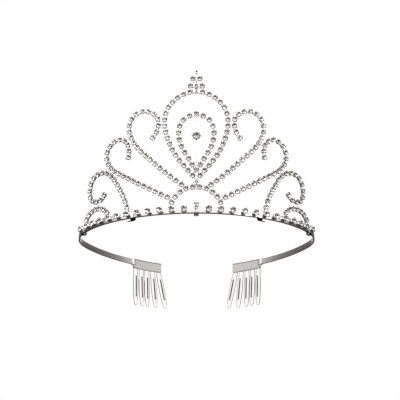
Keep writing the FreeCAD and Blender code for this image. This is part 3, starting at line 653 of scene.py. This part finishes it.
TABLE_RADIUS = 0.85
STAR_RADIUS = 1.15
GIRDLE_RADIUS, GIRDLE_LOW, GIRDLE_HIGH = 1.45, 1.42, 1.52
MAIN_RADIUS = 0.42
ASKEW = math.radians(2.0)
CUT = 8
FACET_CREASE = 1
STONE_DRAW = 11


def brilliant():
    """One cut stone at the common size. Faces below the girdle take the second finish."""
    mesh = bmesh.new()
    half = math.pi / CUT

    def corner(radius, steps, up):
        turn = half * steps
        return mesh.verts.new((radius * math.cos(turn), radius * math.sin(turn), up))

    crown_slope = (TABLE_UP - GIRDLE_HIGH) / (GIRDLE_RADIUS - TABLE_RADIUS)
    star_up = TABLE_UP - (STAR_RADIUS * math.cos(half) - TABLE_RADIUS) * crown_slope
    back_slope = (GIRDLE_LOW - CULET_HEIGHT) / GIRDLE_RADIUS
    main_up = CULET_HEIGHT + MAIN_RADIUS * math.cos(half) * back_slope
    table = [corner(TABLE_RADIUS, 2 * i, TABLE_UP) for i in range(CUT)]
    stars = [corner(STAR_RADIUS, 2 * i + 1, star_up) for i in range(CUT)]
    upper = [corner(GIRDLE_RADIUS, i, GIRDLE_HIGH) for i in range(2 * CUT)]
    lower = [corner(GIRDLE_RADIUS, i, GIRDLE_LOW) for i in range(2 * CUT)]
    mains = [corner(MAIN_RADIUS, 2 * i + 1, main_up) for i in range(CUT)]
    culet = corner(0, 0, CULET_HEIGHT)
    front = [table]
    back = []
    for i in range(CUT):
        j = (i + 1) % CUT
        this, between, following = 2 * i, 2 * i + 1, 2 * j
        front += [
            [table[i], stars[i], table[j]],
            [table[i], stars[i - 1], upper[this], stars[i]],
            [stars[i], upper[this], upper[between]],
            [stars[i], upper[between], upper[following]],
        ]
        back += [
            [lower[this], lower[between], upper[between], upper[this]],
            [lower[between], lower[following], upper[following], upper[between]],
            [mains[i], lower[between], lower[this]],
            [mains[i], lower[following], lower[between]],
            [culet, mains[i], lower[this], mains[i - 1]],
        ]
    for finish, group in enumerate((front, back)):
        for outline in group:
            mesh.faces.new(outline).material_index = finish
    bmesh.ops.recalc_face_normals(mesh, faces=mesh.faces)
    return mesh


def set_askew(seats, luck):
    """The same seats, each turned freely and tipped a little, about the middle of its girdle."""
    settled = []
    pivot = Vector((0, 0, GIRDLE_LOW))
    for back, shape in seats:
        spin = Matrix.Rotation(luck.uniform(0, math.tau), 3, "Z")
        tip = Matrix.Rotation(luck.uniform(-ASKEW, ASKEW), 3, "X")
        turned = shape @ tip @ spin
        settled.append((back + shape @ pivot - turned @ pivot, turned))
    return settled


glass = material("cut_glass", Transmission_Weight=1.0, IOR=1.56)
polish = glass.noise(800.0)
glass.feed("Base Color", glass.tint(glass.noise(120.0), (0.97, 0.975, 0.98), (1.0, 1.0, 1.0)))
glass.feed("Roughness", 0.03 * polish)
foil = material("silver_foil", Metallic=1.0)
crinkle = foil.noise(1500.0)
foil.feed("Base Color", foil.tint(foil.noise(400.0), (0.80, 0.80, 0.81), (0.97, 0.97, 0.98)))
foil.feed("Roughness", 0.02 + 0.08 * crinkle)
foil.relief(crinkle, 0.06, 0.02 * MM)
luck = random.Random(STONE_DRAW)
stone = brilliant()
for row in JEWELLED:
    made = stamped(stone, set_askew(seats_of[row], luck))
    piece(f"{row}_stones", made, "tiara", [glass, foil], [f"{row}_crystals"], FACET_CREASE)


# ---- Drop stone. One larger crystal in an eight-claw setting, soldered to a short sleeve. The
# sleeve turns on a fine straight wire down the middle of the inner teardrop.

WIRE_OUT = 0.55
DROP_UP = 47.3
SLEEVE_LENGTH = 4.4
SLEEVE_OUTER, SLEEVE_BORE = 0.4, 0.18
SLEEVE_EASE = 0.06
SLEEVE_STEPS = 16
DROP_CLAWS = 8
THREAD_RADIUS = 0.12
THREAD_STEP = 3 * MM


def on_front(along, up, out):
    """A place on the tiara's front; out is measured from the headband's outer face."""
    turn = along / FRONT_RADIUS
    outward = Vector((math.sin(turn), -math.cos(turn)))
    place = FRONT_CENTRE + outward * (FRONT_RADIUS + out)
    return Vector((*place, up)) * MM


def sleeve(centre, length, outer, bore, ease):
    """A short tube with eased rims, upright about the centre."""
    half = length / 2
    outline = (
        (bore, -half + ease), (bore + ease, -half), (outer - ease, -half), (outer, -half + ease),
        (outer, half - ease), (outer - ease, half), (bore + ease, half), (bore, half - ease),
    )
    rings = []
    for i in range(SLEEVE_STEPS):
        turn = math.tau * i / SLEEVE_STEPS
        around = Vector((math.cos(turn), math.sin(turn), 0))
        rings.append([centre + (around * radius + Vector((0, 0, up))) * MM for radius, up in outline])
    return skin(rings, closed=True)


def joined(meshes):
    """One bmesh holding several, which are used up."""
    whole = bmesh.new()
    for mesh in meshes:
        data = bpy.data.meshes.new("part")
        mesh.to_mesh(data)
        mesh.free()
        whole.from_mesh(data)
        bpy.data.meshes.remove(data)
    return whole


drop_seat = stone_seats("drop_crystal", "drop_setting", DROP_CLAWS)
drop_metal = joined([
    stamped(cup_pattern(DROP_CLAWS), drop_seat),
    sleeve(on_front(0, DROP_UP, WIRE_OUT), SLEEVE_LENGTH, SLEEVE_OUTER, SLEEVE_BORE, SLEEVE_EASE),
])
piece("drop_cup", drop_metal, "drop", [stamping], ["drop_setting"], CUP_CREASE)
drop_glass = stamped(stone, drop_seat)
piece("drop_stone", drop_glass, "drop", [glass, foil], ["drop_crystal"], FACET_CREASE)
thread_low, thread_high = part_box("drop_thread")
thread_ends = [on_front(0, up / MM, WIRE_OUT) for up in (thread_low.z, thread_high.z)]
thread = round_wire(smooth_path(thread_ends, THREAD_STEP), THREAD_RADIUS * MM)
piece("drop_wire", thread, "tiara", [drawn], ["drop_thread"])


# ---- Finial post and apex link. The post is three short wires soldered in a cross, with crystals on
# the front of it. The link is a lozenge of wire on a stem, standing on a short bar.

FINIAL_LOW, FINIAL_TOP = 75.9, 90.0
FINIAL_ARMS = ((3.4, 79.5), (2.05, 84.2))
POST_WIRE = 0.3
SHORT_STEP = 0.5 * MM
LINK_OUT = 0.45
LINK_WIRE = 0.3
LOZENGE_SPREAD = 1.3
BAR_WIRE = LINK_WIRE + 0.08
LOZENGE = ((0, 20.4), (0.85, 19.2), (0, 18.2), (-0.85, 19.2))
LINK_STEM = ((0, 18.3), (0, 17.3))
LINK_BAR = ((-1.2, 17.3), (1.2, 17.3))


def short_wire(places, out, radius):
    """A wire along the places, which are given as (along, up) on the front."""
    line = smooth_path([on_front(along, up, out) for along, up in places], SHORT_STEP)
    return round_wire(line, radius * MM)


post = [short_wire(((0, FINIAL_LOW), (0, FINIAL_TOP)), WIRE_OUT, POST_WIRE)]
post += [short_wire(((-reach, up), (reach, up)), WIRE_OUT, POST_WIRE) for reach, up in FINIAL_ARMS]
piece("finial_wires", joined(post), "tiara", [drawn], ["finial_post"])

lozenge = [on_front(along, up, LINK_OUT) for along, up in LOZENGE]
lozenge_middle = sum(lozenge, Vector()) / len(lozenge)
facing = Vector((0, -1, 0))
lozenge_rings = []
for place in lozenge:
    outward = (place - lozenge_middle).normalized()
    ring = []
    for side in range(WIRE_SIDES):
        turn = math.tau * side / WIRE_SIDES
        reach = outward * math.cos(turn) * LOZENGE_SPREAD + facing * math.sin(turn)
        ring.append(place + reach * LINK_WIRE * MM)
    lozenge_rings.append(ring)
link = [
    skin(lozenge_rings, closed=True),
    short_wire(LINK_STEM, LINK_OUT, LINK_WIRE),
    short_wire(LINK_BAR, LINK_OUT, BAR_WIRE),
]
# Painted shade: the link takes the dark-painted wire.
piece("teardrop_link", joined(link), "tiara", [shade_painted_wire], ["apex_link"])


# ---- Straps. Narrow tabs of bright sheet folded round the headband and the rail and crimped below them,
# where they are painted black as painted shade. The front pair have their spare ends left on.

SHEET = 0.45
TAB_WIDTH = 2.2
TAB_EDGE = 0.1
FRONT_STRAP_ALONG, END_STRAP_ALONG = 38.8, 84.6
SHADED_FOOT_BAND = 0.6 * MM
BAND_GAP = 0.05
RAIL_FRONT = RAIL_THICKNESS + 2 * SOLDER_GAP
FOLD_STEPS = 6


def fold(back, front, low, high, corner):
    """A rounded rectangle as (out, up, direction out of the loop), anticlockwise."""
    stations = []
    for out, up, quadrant in ((front, high, 0), (back, high, 1), (back, low, 2), (front, low, 3)):
        centre_out = out - corner if out == front else out + corner
        centre_up = up - corner if up == high else up + corner
        for part in range(FOLD_STEPS + 1):
            turn = QUARTER * (quadrant + part / FOLD_STEPS)
            way = Vector((math.cos(turn), math.sin(turn)))
            stations.append((centre_out + corner * way.x, centre_up + corner * way.y, way))
    return stations


def folded_loop(place, outward, stations, section, aside=0):
    """A loop bent to those stations. The section's points are (out of the loop, across it)."""
    tangent = Vector((-outward.y, outward.x, 0))
    outward = Vector((*outward, 0))
    rings = []
    for out, up, way in stations:
        ring = []
        for proud, across in section:
            flat = outward * (out + way.x * proud) + tangent * (across + aside)
            ring.append((Vector((*place, 0)) + flat + Vector((0, 0, up + way.y * proud))) * MM)
        rings.append(ring)
    return skin(rings, closed=True)


def front_station(along):
    turn = along / FRONT_RADIUS - QUARTER
    outward = Vector((math.cos(turn), math.sin(turn)))
    return FRONT_CENTRE + outward * FRONT_RADIUS, outward


def arm_station(turn):
    outward = Vector((math.cos(turn), math.sin(turn)))
    return ARM_CENTRE + outward * ARM_RADIUS, outward


def other_side(station):
    return station[0] * flip, station[1] * flip


tab_section = rounded_section(-SHEET / 2, SHEET / 2, -TAB_WIDTH / 2, TAB_WIDTH / 2, TAB_EDGE)
tab = material("bright_tab", Metallic=1.0)
dents = tab.noise(500.0)
# Painted shade: each tab is painted black below the band, where its foot lies in shade.
shaded_foot = tab.ramp(tab.height() + SHADED_FOOT_BAND * tab.noise(900.0), 0.0, SHADED_FOOT_BAND)
tab.feed("Base Color", tab.tint(shaded_foot, (0.02, 0.019, 0.017), (0.96, 0.955, 0.945)))
tab.feed("Roughness", 0.12 + 0.14 * dents + 0.25 * (1 - shaded_foot))
tab.relief(dents, 0.15, 0.05 * MM)
STRAP_LOW, STRAP_HIGH = -1.5, 5.2
STRAP_CORNER = 0.7
BAND_BACK = -BAND_THICKNESS - BAND_GAP
strap_fold = fold(
    BAND_BACK - SHEET / 2, RAIL_FRONT + SHEET / 2,
    STRAP_LOW + SHEET / 2, STRAP_HIGH - SHEET / 2, STRAP_CORNER,
)
TAIL_LENGTH, TAIL_HEIGHT = 3.4, 0.7
TAIL_TAPER = (1.0, 1.0, 0.9, 0.55)


def spare_end(place, outward, way):
    """The end of the tab, left lying behind the headband's lower edge and snipped to a taper."""
    tangent = Vector((-outward.y, outward.x)) * way
    inner = BAND_BACK - SHEET
    rings = []
    for part, taper in enumerate(TAIL_TAPER):
        reach = (TAB_WIDTH / 2 + TAIL_LENGTH) * part / (len(TAIL_TAPER) - 1)
        high = STRAP_LOW + TAIL_HEIGHT * taper
        outline = rounded_section(inner, inner + SHEET, STRAP_LOW, high, TAB_EDGE)
        rings.append([Vector((*(place + outward * out + tangent * reach), up)) * MM for out, up in outline])
    return skin(rings)


for name, along in (("front_strap", FRONT_STRAP_ALONG), ("end_strap", END_STRAP_ALONG)):
    for side, way in (("right", 1), ("left", -1)):
        station = front_station(way * along)
        parts = [folded_loop(*station, strap_fold, tab_section)]
        if name == "front_strap":
            parts.append(spare_end(*station, way))
        piece(f"{name}_{side}_tab", joined(parts), "tiara", [tab], [f"{name}_{side}"])


# ---- Centre tie. Three turns of wire bound round the rail and the headband at the middle, bright on
# the rail and painted dark above and below it as painted shade.

TIE_RADIUS = 0.45
TIE_TURNS = 3
TIE_PITCH = 0.95
TIE_LOW, TIE_HIGH = -1.6, 6.6
TIE_CORNER = 1.0
SHADE_BELOW_EDGE = (0.2 * MM, 1.2 * MM)
SHADE_ABOVE_EDGE = (4.2 * MM, 5.0 * MM)
wire_section = [
    (TIE_RADIUS * math.cos(math.tau * i / WIRE_SIDES), TIE_RADIUS * math.sin(math.tau * i / WIRE_SIDES))
    for i in range(WIRE_SIDES)
]
binding = material("dark_binding", Metallic=1.0)
mottle = binding.noise(800.0)
up = binding.height()
# Painted shade: the wire is painted dark above and below the rail.
lit_middle = binding.ramp(up, *SHADE_BELOW_EDGE) * (1 - binding.ramp(up, *SHADE_ABOVE_EDGE))
painted_shade = binding.tint(mottle, (0.13, 0.125, 0.12), (0.28, 0.27, 0.26))
binding.feed("Base Color", binding.tint(lit_middle, painted_shade, (0.93, 0.925, 0.915)))
binding.feed("Roughness", 0.22 + 0.2 * mottle)
binding.relief(mottle, 0.15, 0.05 * MM)
tie_fold = fold(
    BAND_BACK - TIE_RADIUS, RAIL_FRONT + TIE_RADIUS,
    TIE_LOW + TIE_RADIUS, TIE_HIGH - TIE_RADIUS, TIE_CORNER,
)
turns = [
    folded_loop(*front_station(0), tie_fold, wire_section, (turn - (TIE_TURNS - 1) / 2) * TIE_PITCH)
    for turn in range(TIE_TURNS)
]
piece("centre_binding", joined(turns), "tiara", [binding], ["centre_tie"])


# ---- Comb clips. A loop of bright sheet crimped round each arm just ahead of the comb, so that the
# comb cannot slide forward along the headband.

COMB_LENGTH = 21.8
COMB_NOTCH = 0.8
CLIP_GAP = 0.2
CLIP_CORNER = 0.3
COMB_START = ARM_END - COMB_LENGTH / ARM_RADIUS
NOTCH_END = COMB_START + COMB_NOTCH / ARM_RADIUS
clip_turn = NOTCH_END - (TAB_WIDTH / 2 + CLIP_GAP) / ARM_RADIUS
clip_fold = fold(
    BAND_BACK - SHEET / 2, BAND_GAP + SHEET / 2, -SHEET / 2, BAND_HEIGHT + SHEET / 2, CLIP_CORNER,
)
clip_metal = material("clip_plate", Metallic=1.0)
ripple = clip_metal.noise(600.0)
clip_metal.feed("Base Color", clip_metal.tint(ripple, (0.90, 0.90, 0.895), (0.98, 0.98, 0.975)))
clip_metal.feed("Roughness", 0.25 + 0.15 * ripple)
clip_metal.relief(ripple, 0.12, 0.05 * MM)
for side, station in (("right", arm_station(clip_turn)), ("left", other_side(arm_station(clip_turn)))):
    clip = folded_loop(*station, clip_fold, tab_section)
    piece(f"comb_clip_{side}_tab", clip, "tiara", [clip_metal], [f"comb_clip_{side}"])


# ---- Combs. Each is moulded in one piece from clear plastic: a bar with a channel that grips the
# end of the headband, and five leaf-shaped teeth with a groove down each, fanned out a little.

COMB_WALL = 0.9
COMB_DROP = 2.3
COMB_END_WALL = 0.8
COMB_EDGE = 0.35
TOOTH_PITCH = 4.85
TOOTH_LENGTH = 26.0
TOOTH_THICKNESS = 1.6
TOOTH_ROOT_DEPTH = 1.2
# Half widths down a tooth, by the share of its length.
TOOTH_OUTLINE = (
    (0.0, 1.65), (0.1, 1.85), (0.2, 2.05), (0.32, 2.2), (0.45, 2.25), (0.57, 2.2), (0.68, 2.08),
    (0.78, 1.86), (0.87, 1.6), (0.94, 1.3), (0.972, 1.0), (0.99, 0.62), (1.0, 0.18),
)
TOOTH_SPLAY = (0.0, 1.7, 1.0, 5.5, 12.5)
TOOTH_LEAN = math.radians(2.0)
TIP_THINS_FROM = 1.4
FACE_SHARES = (0.98, 0.88, 0.7, 0.45)
FACE_ROUNDNESS = 4
GROOVE_HALF_WIDTH = 0.55
GROOVE_SHARE = 0.3
GROOVE_DEPTH = 0.95
GROOVE_FILL = 0.7
GROOVE_START, GROOVE_END = 0.16, 0.76
GROOVE_SHALLOW = 0.05
GROOVE_SIDES = (len(FACE_SHARES) + 1, len(FACE_SHARES) + 2)
CUT_PAST = 0.02
CUTTER_EDGE = 0.02
CHANNEL_PAST_TOP = 2
NOTCH_PAST_SIDE = 1
COMB_CREASE = 40
CLEAR, GROOVE_MATT_SHADE = 1, 2


def tooth_section(half_width, thick, groove):
    """A tooth's section: a rounded outer face, and an inner one with a V-shaped groove down it."""
    faces = [(half_width * share, thick * (1 - share ** FACE_ROUNDNESS) ** 0.5) for share in FACE_SHARES]
    lip = min(GROOVE_HALF_WIDTH, half_width * GROOVE_SHARE)
    back = [*faces, (lip, thick), (0, thick - groove)]
    back += [(-across, through) for across, through in reversed(back[:-1])]
    front = [(-across, -through) for across, through in back if across]
    return [(half_width, 0), *back, (-half_width, 0), *front]


def tooth(place, turn):
    """A leaf-shaped tooth hanging from a place. Its groove takes the third finish of the comb, matt and
    painted dark as painted shade.
    """
    levels = [(-TOOTH_ROOT_DEPTH / TOOTH_LENGTH, TOOTH_OUTLINE[0][1]), *TOOTH_OUTLINE]
    rings = []
    grooved = []
    for share, half_width in levels:
        thick = TOOTH_THICKNESS / 2 * min(1, half_width / TIP_THINS_FROM) ** 0.5
        down_groove = min(max((share - GROOVE_START) / (GROOVE_END - GROOVE_START), 0), 1)
        groove = GROOVE_DEPTH * math.sin(math.pi * down_groove) ** GROOVE_FILL
        outline = tooth_section(half_width, thick, groove)
        ring = [Vector((across, through, -share * TOOTH_LENGTH)) for across, through in outline]
        rings.append([(place + turn @ point) * MM for point in ring])
        grooved.append(groove > GROOVE_SHALLOW)
    mesh = skin(rings)
    for index, face in enumerate(mesh.faces):
        ring, side = divmod(index - END_CAPS, len(rings[0]))
        in_groove = side in GROOVE_SIDES and index >= END_CAPS and grooved[ring]
        face.material_index = GROOVE_MATT_SHADE if in_groove else CLEAR
    return mesh


def solid_object(mesh, name):
    """An object of the comb that the next step cuts or joins, with the comb's three finishes."""
    data = bpy.data.meshes.new(name)
    mesh.to_mesh(data)
    mesh.free()
    for finish in comb_finishes:
        data.materials.append(finish.owner)
    made = bpy.data.objects.new(name, data)
    bpy.context.scene.collection.objects.link(made)
    return made


def combined(base, others, operation):
    """The base with the others added or cut away, as a bmesh. The objects are used up."""
    for other in others:
        step = base.modifiers.new(operation, "BOOLEAN")
        step.operation = operation
        step.solver = "EXACT"
        step.object = other
    evaluated = base.evaluated_get(bpy.context.evaluated_depsgraph_get())
    result = bmesh.new()
    result.from_mesh(evaluated.to_mesh())
    evaluated.to_mesh_clear()
    for used in (base, *others):
        bpy.data.objects.remove(used)
    return result


# The bar comes frosted from the mould, with its top edge painted dark as painted shade. The teeth are
# polished clear, and their grooves are left matt and are painted dark as painted shade.
TOP_SHADE_FROM, TOP_SHADE_FULL = 3.0 * MM, 3.4 * MM
frosted = material("frosted_plastic", Transmission_Weight=0.2, IOR=1.49)
bloom = frosted.noise(260.0)
# Painted shade: the bar is painted dark along its top edge.
top_edge_shade = frosted.ramp(frosted.height(), TOP_SHADE_FROM, TOP_SHADE_FULL)
cloudy = frosted.tint(bloom, (0.46, 0.445, 0.42), (0.52, 0.505, 0.48))
frosted.feed("Base Color", frosted.tint(top_edge_shade, cloudy, (0.10, 0.097, 0.094)))
frosted.feed("Roughness", 0.42 + 0.2 * bloom)
frosted.relief(bloom, 0.08, 0.05 * MM)
plastic = material("clear_plastic", Transmission_Weight=1.0, IOR=1.22)
haze = plastic.noise(120.0)
plastic.feed("Base Color", plastic.tint(haze, (0.94, 0.935, 0.92), (0.99, 0.985, 0.975)))
plastic.feed("Roughness", 0.02 * haze)
plastic.relief(haze, 0.02, 0.03 * MM)
# Painted shade: the groove finish is matt and is painted dark as shade.
groove_matt_and_shade = material("groove_matt_and_painted_shade", Transmission_Weight=0.1, IOR=1.49)
fog = groove_matt_and_shade.noise(400.0)
groove_matt_and_shade.feed("Base Color", groove_matt_and_shade.tint(fog, (0.05, 0.048, 0.046), (0.10, 0.097, 0.094)))
groove_matt_and_shade.feed("Roughness", 0.4 + 0.3 * fog)
groove_matt_and_shade.relief(fog, 0.1, 0.05 * MM)
comb_finishes = [frosted, plastic, groove_matt_and_shade]
bar_inner, bar_outer = -BAND_THICKNESS - COMB_WALL, COMB_WALL
bar_end = ARM_END + COMB_END_WALL / ARM_RADIUS
bar = bent_strip(
    bend(ARM_CENTRE, ARM_RADIUS, COMB_START, bar_end),
    rounded_section(bar_inner, bar_outer, -COMB_DROP, BAND_HEIGHT, COMB_EDGE),
)
cutter_top = BAND_HEIGHT + CHANNEL_PAST_TOP
channel = bent_strip(
    bend(ARM_CENTRE, ARM_RADIUS, COMB_START - CUT_PAST, ARM_END + BAND_GAP / ARM_RADIUS),
    rounded_section(BAND_BACK, BAND_GAP, -BAND_GAP, cutter_top, CUTTER_EDGE),
)
teeth = []
middle_turn = (COMB_START + bar_end) / 2
for index, splay in enumerate(TOOTH_SPLAY):
    turn = middle_turn + (index - len(TOOTH_SPLAY) // 2) * TOOTH_PITCH / ARM_RADIUS
    place, outward = arm_station(turn)
    root = Vector((*(place + outward * (bar_inner + bar_outer) / 2), -COMB_DROP))
    facing = (
        Matrix.Rotation(turn + QUARTER, 3, "Z")
        @ Matrix.Rotation(TOOTH_LEAN, 3, "X")
        @ Matrix.Rotation(-math.radians(splay), 3, "Y")
    )
    teeth.append(solid_object(tooth(root, facing), f"tooth_{index}"))
notch_section = rounded_section(
    bar_inner - NOTCH_PAST_SIDE, bar_outer + NOTCH_PAST_SIDE, -SHEET - BAND_GAP, cutter_top, CUTTER_EDGE,
)
notch = bent_strip(bend(ARM_CENTRE, ARM_RADIUS, COMB_START - CUT_PAST, NOTCH_END), notch_section)
cutters = [solid_object(channel, "channel"), solid_object(notch, "notch")]
trough = combined(solid_object(bar, "bar"), cutters, "DIFFERENCE")
comb = combined(solid_object(trough, "trough"), teeth, "UNION")
mirrored = comb.copy()
bmesh.ops.scale(mirrored, vec=(-1, 1, 1), verts=mirrored.verts)
bmesh.ops.reverse_faces(mirrored, faces=mirrored.faces)
for side, mesh in (("right", comb), ("left", mirrored)):
    node = f"comb_{side}"
    piece(f"{node}_plastic", mesh, "tiara", comb_finishes, [node], COMB_CREASE)
